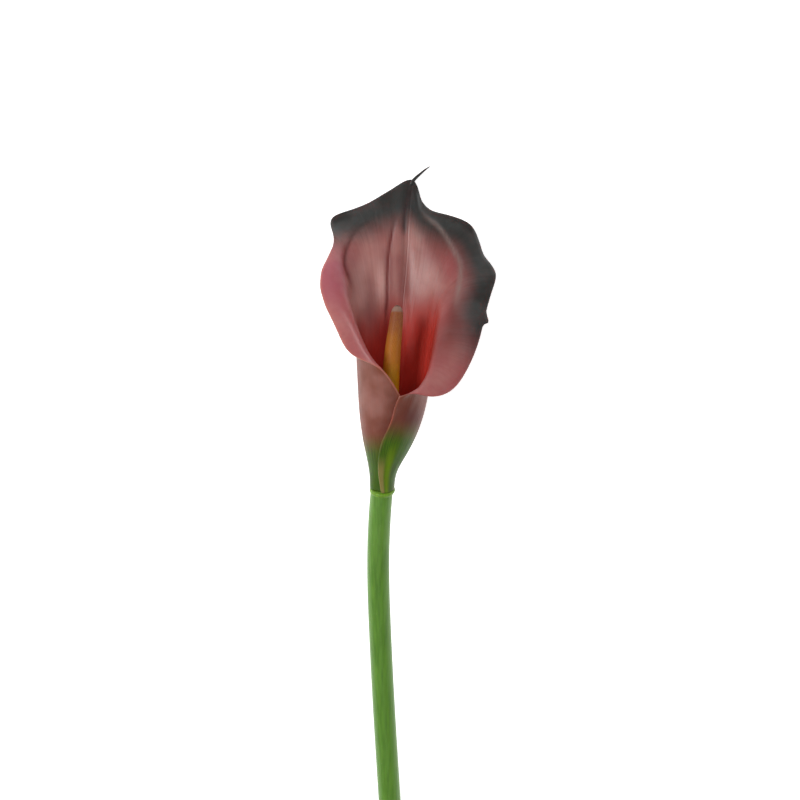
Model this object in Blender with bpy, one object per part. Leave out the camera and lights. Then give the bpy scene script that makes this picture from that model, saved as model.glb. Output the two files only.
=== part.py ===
"""Calla lily flower, freshly cut and lying on its back: one rolled spathe, the spadix inside it, and the stem.

Run it with: blender --background --python part.py

Frame: +Y points from the stem's cut end to the spathe's tip, +X to the right as the open throat faces
the viewer, and +Z up, out of the surface that the flower lies on. The origin is the middle of the
flower's footprint, on that surface. Shapes are drawn in millimetres round the middle of the spathe's
base, where it grows out of the stem, and are moved to the origin and scaled to metres at the end.
"""

import math
from dataclasses import dataclass

import bpy
import numpy as np

# ---------------------------------------------------------------- driving dimensions, in millimetres
MM = 0.001
STEM_LENGTH = 250.0
STEM_RADIUS = 4.8
STEM_TOP_SLOPE = 0.130
COLLAR_RADIUS = 5.6
COLLAR_TILT = 0.42
COLLAR_RISE = 1.1
COLLAR_REACH = 22.0
CUT_SLANT = 0.30
SHEET_THICKNESS = 1.0
LAYER_STEP = 1.5
SEAT_GAP = 0.38
SPADIX_LENGTH = 79.5
SPADIX_STALK_RADIUS = 2.3

# How finely the solids are faceted.
COLUMNS_PER_RIB = 3
SPATHE_ROWS = 22
STEM_SIDES = 16
STEM_RINGS = 30
SPADIX_SIDES = 14


# ---------------------------------------------------------------- the spathe's shape
@dataclass(frozen=True)
class TubeStation:
    """The rolled tube's middle and half sizes at one height above the spathe's base."""

    height: float
    centre_x: float
    centre_z: float
    half_width: float
    half_depth: float


@dataclass(frozen=True)
class Rib:
    """One line up the sheet, from the base ring to the margin.

    The base angle runs round the flower's axis: 0 at the back, 90 at the right, 180 at the front.
    The ridge is the point that the sheet bends over as it opens, and the rim is on its margin.
    """

    name: str
    base_angle: float
    ridge: tuple
    rim: tuple
    lean: float = 0.0


TUBE = (
    TubeStation(0, 0.3, 0.0, 4.8, 4.8),
    TubeStation(5, 0.5, 0.5, 4.9, 5.0),
    TubeStation(10, 0.9, 1.1, 5.9, 6.3),
    TubeStation(15, 2.0, 1.6, 8.1, 7.9),
    TubeStation(20, 3.0, 2.0, 10.1, 9.4),
    TubeStation(25, 3.7, 2.2, 11.8, 10.8),
    TubeStation(30, 4.2, 2.4, 13.1, 12.0),
    TubeStation(40, 5.1, 2.5, 14.8, 13.8),
    TubeStation(60, 5.8, 2.2, 15.9, 16.2),
    TubeStation(80, 7.0, 1.5, 19.5, 19.2),
    TubeStation(100, 8.0, 1.0, 25.0, 20.6),
    TubeStation(120, 10.0, 0.5, 28.0, 21.6),
)

RIBS = (
    Rib("seam_over", 181, (5.6, 36.2, 17.0), (7.8, 40.2, 17.6), lean=25),
    Rib("right_fold", 160, (12.6, 43.4, 16.8), (14.4, 41.3, 19.0), lean=13),
    Rib("right_fold_low", 142, (16.8, 47.5, 15.4), (21.0, 40.3, 17.8), lean=7),
    Rib("right_lip_low", 124, (20.2, 53.6, 12.0), (29.4, 42.7, 12.5), lean=3),
    Rib("right_lip", 108, (22.0, 60.0, 7.6), (36.2, 51.2, 6.0)),
    Rib("right_lip_high", 94, (23.8, 67.5, 3.0), (41.4, 63.0, 0.5)),
    Rib("right_side", 80, (26.5, 76.5, -3.0), (44.6, 75.0, -5.0)),
    Rib("right_side_high", 67, (29.0, 86.0, -8.0), (48.0, 86.5, -10.5)),
    Rib("right_lobe", 55, (31.0, 94.5, -12.5), (49.4, 94.8, -16.0)),
    Rib("right_lobe_high", 43, (31.0, 102.5, -15.5), (44.4, 103.4, -21.0)),
    Rib("right_shoulder", 32, (29.0, 109.0, -18.0), (39.5, 115.3, -26.5)),
    Rib("right_brow", 21, (23.5, 113.0, -19.0), (27.0, 120.9, -25.8)),
    Rib("right_of_tip", 10, (16.6, 117.5, -20.0), (17.7, 126.2, -25.6)),
    Rib("tip", 0, (12.0, 123.3, -21.0), (13.7, 135.6, -26.0)),
    Rib("left_of_tip", -11, (4.2, 120.2, -21.0), (3.5, 131.1, -25.6)),
    Rib("left_brow", -24, (-4.5, 115.8, -20.5), (-10.0, 123.8, -25.6)),
    Rib("left_ear", -38, (-12.0, 111.0, -17.5), (-22.1, 118.6, -26.5)),
    Rib("left_ear_foot", -54, (-16.8, 105.0, -11.0), (-20.9, 108.8, -16.0)),
    Rib("left_lip_high", -70, (-17.6, 97.5, -2.5), (-24.1, 98.8, -6.5)),
    Rib("left_lip", -87, (-16.4, 89.5, 4.0), (-26.2, 89.0, -1.5)),
    Rib("left_lip_low", -105, (-14.0, 81.5, 9.0), (-24.0, 79.2, 3.0)),
    Rib("left_fold_high", -124, (-10.8, 73.0, 12.8), (-19.3, 69.6, 6.4)),
    Rib("left_fold", -145, (-6.8, 64.5, 15.6), (-13.9, 59.6, 10.5)),
    Rib("left_fold_low", -169, (-2.4, 57.0, 17.0), (-5.4, 54.6, 15.8)),
    Rib("left_margin", -198, (2.4, 49.5, 16.6), (2.4, 49.2, 17.2)),
    Rib("seam_under", -235, (7.2, 40.0, 14.6), (9.6, 37.6, 14.6)),
)
TIP_RIB = 13
WALL_SHARES = (0.0, 0.06, 0.14, 0.25, 0.40, 0.60, 0.84)
TAIL_ROOT_IN_RIBS = 0.07
TAIL_STATIONS = (((1.3, 1.2, 0.0), 0.75), ((3.2, 2.8, 0.0), 0.55), ((5.3, 4.6, 0.1), 0.42), ((7.5, 6.3, 0.2), 0.25))
TABLE_LEVEL = -25.6
TABLE_SOFTNESS = 0.5

# Points that the stem's centre line passes through: distance below the spathe and sideways offset.
STEM_BENDS = ((0, 0.3), (15, -0.9), (35, -1.4), (60, -0.7), (95, 1.0), (133, 3.3), (190, 6.6), (250, 9.0))


# ---------------------------------------------------------------- curves
def spline_matrix(count, at):
    """Weights that run a natural cubic spline through `count` evenly spaced values, read at `at`."""
    left, right = np.eye(count), np.zeros((count, count))
    for i in range(1, count - 1):
        left[i, i - 1 : i + 2] = (1, 4, 1)
        right[i, i - 1 : i + 2] = (6, -12, 6)
    bends = np.linalg.solve(left, right)
    at = np.asarray(at, float)
    low = np.clip(np.floor(at).astype(int), 0, count - 2)
    up = (at - low)[:, None]
    down = 1 - up
    eye = np.eye(count)
    straight = down * eye[low] + up * eye[low + 1]
    return straight + (down**3 - down) / 6 * bends[low] + (up**3 - up) / 6 * bends[low + 1]


def through(knots, values, at):
    """A natural cubic spline through values at unevenly spaced knots."""
    knots, values = np.asarray(knots, float), np.asarray(values, float)
    steps = np.diff(knots)
    count = len(knots)
    left, right = np.eye(count), np.zeros(count)
    for i in range(1, count - 1):
        left[i, i - 1 : i + 2] = (steps[i - 1], 2 * (steps[i - 1] + steps[i]), steps[i])
        slopes = (values[i + 1] - values[i]) / steps[i], (values[i] - values[i - 1]) / steps[i - 1]
        right[i] = 6 * (slopes[0] - slopes[1])
    bends = np.linalg.solve(left, right)
    at = np.asarray(at, float)
    i = np.clip(np.searchsorted(knots, at, side="right") - 1, 0, count - 2)
    a, b = (knots[i + 1] - at) / steps[i], (at - knots[i]) / steps[i]
    curve = ((a**3 - a) * bends[i] + (b**3 - b) * bends[i + 1]) * steps[i] ** 2 / 6
    return a * values[i] + b * values[i + 1] + curve


def bspline_matrix(count, at, degree=3):
    """Weights of a clamped cubic B-spline over `count` control points, read at shares 0 to 1."""
    inner = np.arange(1, count - degree) / (count - degree)
    knots = np.concatenate([np.zeros(degree + 1), inner, np.ones(degree + 1)])
    at = np.clip(np.asarray(at, float), 0, 1 - 1e-9)
    weights = ((knots[:-1] <= at[:, None]) & (at[:, None] < knots[1:])).astype(float)
    for d in range(1, degree + 1):
        wider = np.zeros((len(at), weights.shape[1] - 1))
        for j in range(wider.shape[1]):
            rise, fall = knots[j + d] - knots[j], knots[j + d + 1] - knots[j + 1]
            if rise > 0:
                wider[:, j] += (at - knots[j]) / rise * weights[:, j]
            if fall > 0:
                wider[:, j] += (knots[j + d + 1] - at) / fall * weights[:, j + 1]
        weights = wider
    return weights


def smooth_step(low, high, value):
    share = np.clip((value - low) / (high - low), 0, 1)
    return share * share * (3 - 2 * share)


# ---------------------------------------------------------------- the sheet
def tube_at(height):
    """The tube's middle (x, z) and half sizes at a height, as one row of four numbers."""
    heights = [s.height for s in TUBE]
    columns = [[s.centre_x, s.centre_z, s.half_width, s.half_depth] for s in TUBE]
    return [float(through(heights, c, [height])[0]) for c in zip(*columns)]


def wall_point(angle, height):
    """A point on the rolled tube. Past the front the sheet runs inside its own other edge."""
    centre_x, centre_z, half_width, half_depth = tube_at(height)
    inward = LAYER_STEP * smooth_step(80, 150, -angle)
    turn = math.radians(angle)
    x = centre_x + (half_width - inward) * math.sin(turn)
    z = centre_z - (half_depth - inward) * math.cos(turn)
    return (x, height, z)


def rib_points(rib):
    """The control points of one rib: those up the wall of the tube, its ridge and its rim."""
    top = WALL_SHARES[-1] * rib.ridge[1]
    centre_x, centre_z, half_width, half_depth = tube_at(top)
    across = (rib.ridge[0] - centre_x) / half_width
    forward = (rib.ridge[2] - centre_z) / half_depth
    throat = math.degrees(math.atan2(across, -forward))
    throat += 360 * round((rib.base_angle - throat) / 360)
    points = []
    for share in WALL_SHARES:
        way = share / WALL_SHARES[-1]
        angle = rib.base_angle + (throat - rib.base_angle) * way + rib.lean * math.sin(math.pi * way)
        points.append(wall_point(angle, share * rib.ridge[1]))
    return [*points, rib.ridge, rib.rim]


def sheet_points(at_rib, at_row):
    """The middle of the sheet at every pair of a place among the ribs and a share of the way up."""
    net = np.array([rib_points(rib) for rib in RIBS])
    across, along = spline_matrix(len(RIBS), at_rib), bspline_matrix(net.shape[1], at_row)
    points = np.einsum("ui,ijc,tj->utc", across, net, along)
    above = (points[:, :, 2] - TABLE_LEVEL) / TABLE_SOFTNESS
    points[:, :, 2] = TABLE_LEVEL + TABLE_SOFTNESS * np.logaddexp(0, above)
    return points


def sheet_normals(points):
    """Unit normals of a grid of points, on the throat side of the sheet."""
    across = np.gradient(points, axis=0)
    along = np.gradient(points, axis=1)
    normals = np.cross(along, across)
    return normals / np.linalg.norm(normals, axis=2, keepdims=True)


def tail_mesh(points, ring):
    """Rings of points and faces that draw the tip's edge, a ring of point numbers, out into a thin tail."""
    root = points[ring]
    centre = root.mean(0)
    rings = [centre + np.array(reach) + (root - centre) * scale for reach, scale in TAIL_STATIONS]
    faces = []
    for step in range(len(rings)):
        following = [len(points) + step * len(ring) + k for k in range(len(ring))]
        for k in range(len(ring)):
            after = (k + 1) % len(ring)
            faces.append((ring[k], ring[after], following[after], following[k]))
        ring = following
    return np.concatenate([points, *rings]), [*faces, tuple(ring)]


def spathe_mesh():
    """The closed shell of the sheet: its throat face, its outside face, the strip round its edge, its tail."""
    even = np.linspace(0, len(RIBS) - 1, COLUMNS_PER_RIB * (len(RIBS) - 1) + 1)
    at_rib = np.sort([*even, TIP_RIB - TAIL_ROOT_IN_RIBS, TIP_RIB + TAIL_ROOT_IN_RIBS])
    at_row = np.linspace(0, 1, SPATHE_ROWS)
    columns = len(at_rib)
    middle = sheet_points(at_rib, at_row)
    half = sheet_normals(middle) * SHEET_THICKNESS / 2
    rows = SPATHE_ROWS
    points = np.concatenate([(middle + half).reshape(-1, 3), (middle - half).reshape(-1, 3)])
    outside = columns * rows

    def at(column, row):
        return column * rows + row

    faces = []
    for c in range(columns - 1):
        for r in range(rows - 1):
            quad = (at(c, r), at(c, r + 1), at(c + 1, r + 1), at(c + 1, r))
            faces.append(quad)
            faces.append(tuple(outside + i for i in reversed(quad)))
    edge = [at(c, 0) for c in range(columns)]
    edge += [at(columns - 1, r) for r in range(1, rows)]
    edge += [at(c, rows - 1) for c in range(columns - 2, -1, -1)]
    edge += [at(0, r) for r in range(rows - 2, 0, -1)]
    tip = int(np.argmin(np.abs(at_rib - TIP_RIB)))
    root = [at(c, rows - 1) for c in (tip + 1, tip, tip - 1)]
    for a, b in zip(edge, edge[1:] + edge[:1]):
        if a not in root or b not in root:
            faces.append((a, b, outside + b, outside + a))
    points, tail_faces = tail_mesh(points, root + [outside + i for i in reversed(root)])
    return points, faces + tail_faces


# ---------------------------------------------------------------- the stem and the spadix
def rod_mesh(centres, radii, sides, slant=0.0):
    """A closed round rod of rings square to Y; the first ring may be cut on a slant."""
    turns = 2 * np.pi * (np.arange(sides) + 0.5) / sides
    round_ring = np.stack([np.cos(turns), np.zeros(sides), -np.sin(turns)], axis=1)
    points = np.asarray(centres, float)[:, None, :] + np.asarray(radii)[:, None, None] * round_ring
    points[0, :, 1] += slant * points[0, :, 2] - slant * centres[0][2]
    faces = []
    for i in range(len(centres) - 1):
        for k in range(sides):
            a, b = i * sides + k, i * sides + (k + 1) % sides
            faces.append((a, b, b + sides, a + sides))
    faces.append(tuple(reversed(range(sides))))
    last = (len(centres) - 1) * sides
    faces.append(tuple(last + k for k in range(sides)))
    return points.reshape(-1, 3), faces


def stem_droop(distance, drop):
    """How far the stem's centre lies below the spathe's base, so that its cut end comes down by drop."""
    end_slope = 2 * drop / STEM_LENGTH - STEM_TOP_SLOPE
    easing = (STEM_TOP_SLOPE - end_slope) / (2 * STEM_LENGTH)
    return STEM_TOP_SLOPE * distance - easing * distance**2


def stem_mesh(resting_height):
    """The stem from its cut end to the collar that the spathe grows from."""
    drop = -(resting_height + STEM_RADIUS)
    down, side = zip(*STEM_BENDS)
    even = np.linspace(STEM_LENGTH, 8.0, STEM_RINGS)
    collar = [(5.0, STEM_RADIUS), (3.2, STEM_RADIUS + 0.05), (2.4, COLLAR_RADIUS), (1.2, COLLAR_RADIUS)]
    collar.append((SEAT_GAP, STEM_RADIUS + 0.1))
    distances = np.concatenate([even, [d for d, _ in collar]])
    radii = np.concatenate([np.full(len(even), STEM_RADIUS), [r for _, r in collar]])
    centres = [
        (x, -d, -stem_droop(d, drop)) for x, d in zip(through(down, side, distances), distances)
    ]
    return rod_mesh(centres, radii, STEM_SIDES, slant=CUT_SLANT)


def spadix_mesh():
    """The spadix, a slim club with a blunt tip, on the stalk that stands on the stem's top."""
    stations = [
        (0.0, SPADIX_STALK_RADIUS),
        (6.0, SPADIX_STALK_RADIUS),
        (10.0, 3.3),
        (20.0, 3.9),
        (40.0, 3.9),
        (54.0, 3.75),
        (62.0, 3.5),
        (72.0, 3.05),
        (76.5, 2.7),
        (78.4, 2.1),
        (79.3, 1.2),
        (SPADIX_LENGTH, 0.35),
    ]
    heights = [h for h, _ in stations]
    x = through((0, 20, 41, 54, 62, 72, 80), (0.3, 2.2, 3.7, 4.4, 5.1, 6.3, 6.9), heights)
    z = through((0, 20, 50, 80), (0.0, 1.9, 2.4, 2.2), heights)
    return rod_mesh(list(zip(x, heights, z)), [r for _, r in stations], SPADIX_SIDES)


def set_collar_aslant(points):
    """Shift and shear the flower's foot so that the ring where the spathe meets the stem is lower in front."""
    fade = 1 - smooth_step(2, COLLAR_REACH, np.abs(points[:, 1]))
    slanted = points.copy()
    slanted[:, 1] += (COLLAR_RISE - COLLAR_TILT * points[:, 2]) * fade
    return slanted


# ---------------------------------------------------------------- Blender objects
def material(name, colour, roughness):
    made = bpy.data.materials.new(name)
    made.use_nodes = True
    shader = made.node_tree.nodes["Principled BSDF"]
    shader.inputs["Base Color"].default_value = (*colour, 1)
    shader.inputs["Roughness"].default_value = roughness
    shader.inputs["Metallic"].default_value = 0.0
    return made


def add_object(name, points, faces, finish):
    """One closed mesh as a named object, in metres."""
    mesh = bpy.data.meshes.new(name)
    mesh.from_pydata([tuple(p * MM) for p in points], [], faces)
    mesh.shade_smooth()
    mesh.set_sharp_from_angle(angle=math.radians(50))
    mesh.materials.append(finish)
    made = bpy.data.objects.new(name, mesh)
    bpy.context.scene.collection.objects.link(made)
    return made


def main():
    for old in list(bpy.data.objects):
        bpy.data.objects.remove(old)
    spathe_points, spathe_faces = spathe_mesh()
    resting_height = spathe_points[:, 2].min()
    stem_points, stem_faces = stem_mesh(resting_height)
    spadix_points, spadix_faces = spadix_mesh()
    spathe_points, stem_points, spadix_points = map(
        set_collar_aslant, (spathe_points, stem_points, spadix_points)
    )
    everything = np.concatenate([spathe_points, stem_points, spadix_points])
    low, high = everything.min(0), everything.max(0)
    origin = np.array(((low[0] + high[0]) / 2, (low[1] + high[1]) / 2, low[2]))
    add_object("spathe", spathe_points - origin, spathe_faces, material("spathe_skin", (0.33, 0.09, 0.08), 0.45))
    add_object("spadix", spadix_points - origin, spadix_faces, material("spadix_florets", (0.30, 0.12, 0.02), 0.7))
    add_object("stem", stem_points - origin, stem_faces, material("stem_skin", (0.09, 0.20, 0.03), 0.5))


main()
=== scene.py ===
"""The looks of a cut calla lily lying on its back on a pale studio floor."""

import logging
import math
from dataclasses import dataclass, field
from enum import Enum
from typing import Sequence

import bpy
import numpy as np
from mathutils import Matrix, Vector


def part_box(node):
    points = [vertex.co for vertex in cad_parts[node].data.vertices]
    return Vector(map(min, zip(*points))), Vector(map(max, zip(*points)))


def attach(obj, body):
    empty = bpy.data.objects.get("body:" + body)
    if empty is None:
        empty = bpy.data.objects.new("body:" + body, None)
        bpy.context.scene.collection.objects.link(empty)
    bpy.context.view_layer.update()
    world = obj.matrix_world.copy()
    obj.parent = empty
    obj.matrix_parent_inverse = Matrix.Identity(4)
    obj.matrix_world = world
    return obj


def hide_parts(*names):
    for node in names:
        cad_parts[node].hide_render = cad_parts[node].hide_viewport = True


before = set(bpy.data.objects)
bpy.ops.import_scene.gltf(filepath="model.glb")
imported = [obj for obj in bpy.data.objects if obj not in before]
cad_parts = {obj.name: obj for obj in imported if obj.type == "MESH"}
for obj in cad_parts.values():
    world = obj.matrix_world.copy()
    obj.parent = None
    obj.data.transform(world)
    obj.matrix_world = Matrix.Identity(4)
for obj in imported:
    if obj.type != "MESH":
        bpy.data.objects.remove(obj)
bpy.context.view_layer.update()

LOG = logging.getLogger("calla")
MM = 0.001

# The spathe's lowest corner, in millimetres from the middle of its foot, where it leaves the stem.
SPATHE_LOW_CORNER = (-26.381, -1.161, -26.033)
COLLAR_TILT = 0.42
COLLAR_RISE = 1.1
COLLAR_REACH = 22.0

Colour = tuple[float, float, float]
Point = tuple[float, float, float]


# ---------------------------------------------------------------- small helpers
def tone(red: int, green: int, blue: int) -> Colour:
    """A display colour, 0 to 255, as the linear light that a shader takes.

    Args:
        red, green, blue: the display values.

    Returns:
        The linear colour.
    """

    def linear(value: float) -> float:
        share = value / 255
        return share / 12.92 if share <= 0.04045 else ((share + 0.055) / 1.055) ** 2.4

    return linear(red), linear(green), linear(blue)


def smooth_step(low: float, high: float, value: np.ndarray) -> np.ndarray:
    """A soft ramp.

    Args:
        low: where the ramp leaves 0.
        high: where it reaches 1.
        value: where to read it.

    Returns:
        The ramp's height at each value.
    """
    share = np.clip((value - low) / (high - low), 0, 1)
    return share * share * (3 - 2 * share)


def curve_through(knots: Sequence[float], values: Sequence[float], at: np.ndarray) -> np.ndarray:
    """A natural cubic spline.

    Args:
        knots: places that the curve passes, rising.
        values: its values there.
        at: the places to read.

    Returns:
        The curve's values.
    """
    knot, value = np.asarray(knots, float), np.asarray(values, float)
    step = np.diff(knot)
    count = len(knot)
    left, right = np.eye(count), np.zeros(count)
    for i in range(1, count - 1):
        left[i, i - 1 : i + 2] = (step[i - 1], 2 * (step[i - 1] + step[i]), step[i])
        right[i] = 6 * ((value[i + 1] - value[i]) / step[i] - (value[i] - value[i - 1]) / step[i - 1])
    bends = np.linalg.solve(left, right)
    at = np.asarray(at, float)
    i = np.clip(np.searchsorted(knot, at, side="right") - 1, 0, count - 2)
    a, b = (knot[i + 1] - at) / step[i], (at - knot[i]) / step[i]
    sag = ((a**3 - a) * bends[i] + (b**3 - b) * bends[i + 1]) * step[i] ** 2 / 6
    return a * value[i] + b * value[i + 1] + sag


def weights_across(count: int, at: np.ndarray) -> np.ndarray:
    """Weights of a natural cubic spline through evenly spaced values.

    Args:
        count: how many values there are.
        at: the places to read, in steps.

    Returns:
        One row of weights for each place.
    """
    left, right = np.eye(count), np.zeros((count, count))
    for i in range(1, count - 1):
        left[i, i - 1 : i + 2] = (1, 4, 1)
        right[i, i - 1 : i + 2] = (6, -12, 6)
    bends = np.linalg.solve(left, right)
    low = np.clip(np.floor(at).astype(int), 0, count - 2)
    up = (at - low)[:, None]
    down = 1 - up
    eye = np.eye(count)
    straight = down * eye[low] + up * eye[low + 1]
    return straight + (down**3 - down) / 6 * bends[low] + (up**3 - up) / 6 * bends[low + 1]


def weights_along(count: int, at: np.ndarray, degree: int = 3) -> np.ndarray:
    """Weights of a clamped B-spline.

    Args:
        count: how many control points there are.
        at: shares of the way along, 0 to 1.
        degree: the spline's degree.

    Returns:
        One row of weights for each share.
    """
    inner = np.arange(1, count - degree) / (count - degree)
    knots = np.concatenate([np.zeros(degree + 1), inner, np.ones(degree + 1)])
    at = np.clip(np.asarray(at, float), 0, 1 - 1e-9)
    weights = ((knots[:-1] <= at[:, None]) & (at[:, None] < knots[1:])).astype(float)
    for d in range(1, degree + 1):
        wider = np.zeros((len(at), weights.shape[1] - 1))
        for j in range(wider.shape[1]):
            rise, fall = knots[j + d] - knots[j], knots[j + d + 1] - knots[j + 1]
            if rise > 0:
                wider[:, j] += (at - knots[j]) / rise * weights[:, j]
            if fall > 0:
                wider[:, j] += (knots[j + d + 1] - at) / fall * weights[:, j + 1]
        weights = wider
    return weights


def set_aslant(points: np.ndarray) -> np.ndarray:
    """Shift and shear the flower's foot so that the collar is lower in front, as part of its growth.

    Args:
        points: rows of x, y, z in millimetres from the collar's middle.

    Returns:
        The sheared points.
    """
    fade = 1 - smooth_step(2, COLLAR_REACH, np.abs(points[:, 1]))
    slanted = points.copy()
    slanted[:, 1] += (COLLAR_RISE - COLLAR_TILT * points[:, 2]) * fade
    return slanted


def mesh_object(
    name: str,
    points: np.ndarray,
    faces: Sequence[Sequence[int]],
    origin: np.ndarray,
    values: dict[str, np.ndarray] | None = None,
) -> bpy.types.Object:
    """A smooth-shaded mesh object, in metres.

    Args:
        name: the object's name.
        points: its points, in millimetres from the collar's middle.
        faces: its faces.
        origin: the collar's middle, in metres.
        values: numbers to keep on the points, by name.

    Returns:
        The object, linked to the scene.
    """
    mesh = bpy.data.meshes.new(name)
    mesh.from_pydata((points * MM + origin).tolist(), [], [tuple(f) for f in faces])
    mesh.shade_smooth()
    for key, numbers in (values or {}).items():
        mesh.attributes.new(key, "FLOAT", "POINT").data.foreach_set("value", numbers.astype(np.float32))
    made = bpy.data.objects.new(name, mesh)
    bpy.context.scene.collection.objects.link(made)
    return made


# ---------------------------------------------------------------- materials
class Sheet:
    """The node sheet of one material, with short ways to add and join its nodes."""

    def __init__(self, name: str, roughness: float) -> None:
        """Start a material with one Principled shader.

        Args:
            name: the material's name.
            roughness: the shader's own roughness.
        """
        self.material = bpy.data.materials.new(name)
        self.material.use_nodes = True
        self.tree = self.material.node_tree
        self.shader = self.tree.nodes["Principled BSDF"]
        self.shader.inputs["Roughness"].default_value = roughness

    def add(self, kind: str, **settings: object) -> bpy.types.Node:
        """Add a node of a kind, with its settings."""
        node = self.tree.nodes.new(kind)
        for key, value in settings.items():
            setattr(node, key, value)
        return node

    def put(self, value: object, socket: bpy.types.NodeSocket) -> None:
        """Join a socket to another, or give it a number or a colour."""
        if isinstance(value, bpy.types.NodeSocket):
            self.tree.links.new(value, socket)
        elif isinstance(value, tuple) and len(value) == 3 and socket.type == "RGBA":
            socket.default_value = (*value, 1)
        else:
            socket.default_value = value

    def attribute(self, name: str) -> bpy.types.NodeSocket:
        """The number that the mesh keeps under a name."""
        return self.add("ShaderNodeAttribute", attribute_name=name).outputs["Fac"]

    def place(self) -> bpy.types.NodeSocket:
        """The point's own place on the object, in metres."""
        return self.add("ShaderNodeTexCoord").outputs["Object"]

    def math(self, kind: str, a: object, b: object = 0.0, clamp: bool = False) -> bpy.types.NodeSocket:
        """A sum of two sockets or numbers."""
        node = self.add("ShaderNodeMath", operation=kind, use_clamp=clamp)
        self.put(a, node.inputs[0])
        self.put(b, node.inputs[1])
        return node.outputs[0]

    def ramp(self, value: object, low: float, high: float) -> bpy.types.NodeSocket:
        """A soft ramp from 0 at low to 1 at high."""
        node = self.add("ShaderNodeMapRange", interpolation_type="SMOOTHSTEP")
        self.put(value, node.inputs["Value"])
        node.inputs["From Min"].default_value = low
        node.inputs["From Max"].default_value = high
        return node.outputs["Result"]

    def blend(self, share: object, a: object, b: object, kind: str = "MIX") -> bpy.types.NodeSocket:
        """A colour between a and b."""
        node = self.add("ShaderNodeMix", data_type="RGBA", blend_type=kind)
        self.put(share, node.inputs[0])
        self.put(a, node.inputs[6])
        self.put(b, node.inputs[7])
        return node.outputs[2]

    def noise(self, place: object, scale: float, detail: float = 3.0) -> bpy.types.NodeSocket:
        """Soft noise between 0 and 1."""
        node = self.add("ShaderNodeTexNoise")
        self.put(place, node.inputs["Vector"])
        node.inputs["Scale"].default_value = scale
        node.inputs["Detail"].default_value = detail
        return node.outputs["Fac"]

    def stretched(self, across: object, along: object, third: object = 0.0) -> bpy.types.NodeSocket:
        """A vector from three numbers."""
        node = self.add("ShaderNodeCombineXYZ")
        for value, socket in zip((across, along, third), node.inputs):
            self.put(value, socket)
        return node.outputs[0]

    def bump(self, height: object, depth: float, strength: float = 1.0) -> None:
        """Press a height pattern into the shader's normal; depth is in metres."""
        node = self.add("ShaderNodeBump")
        node.inputs["Strength"].default_value = strength
        node.inputs["Distance"].default_value = depth
        self.put(height, node.inputs["Height"])
        self.put(node.outputs[0], self.shader.inputs["Normal"])

    def finish(self, colour: object, **sockets: object) -> bpy.types.Material:
        """Set the colour and the shader's other sockets, and hand over the material."""
        self.put(colour, self.shader.inputs["Base Color"])
        for key, value in sockets.items():
            self.put(value, self.shader.inputs[key.replace("_", " ")])
        return self.material


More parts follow.
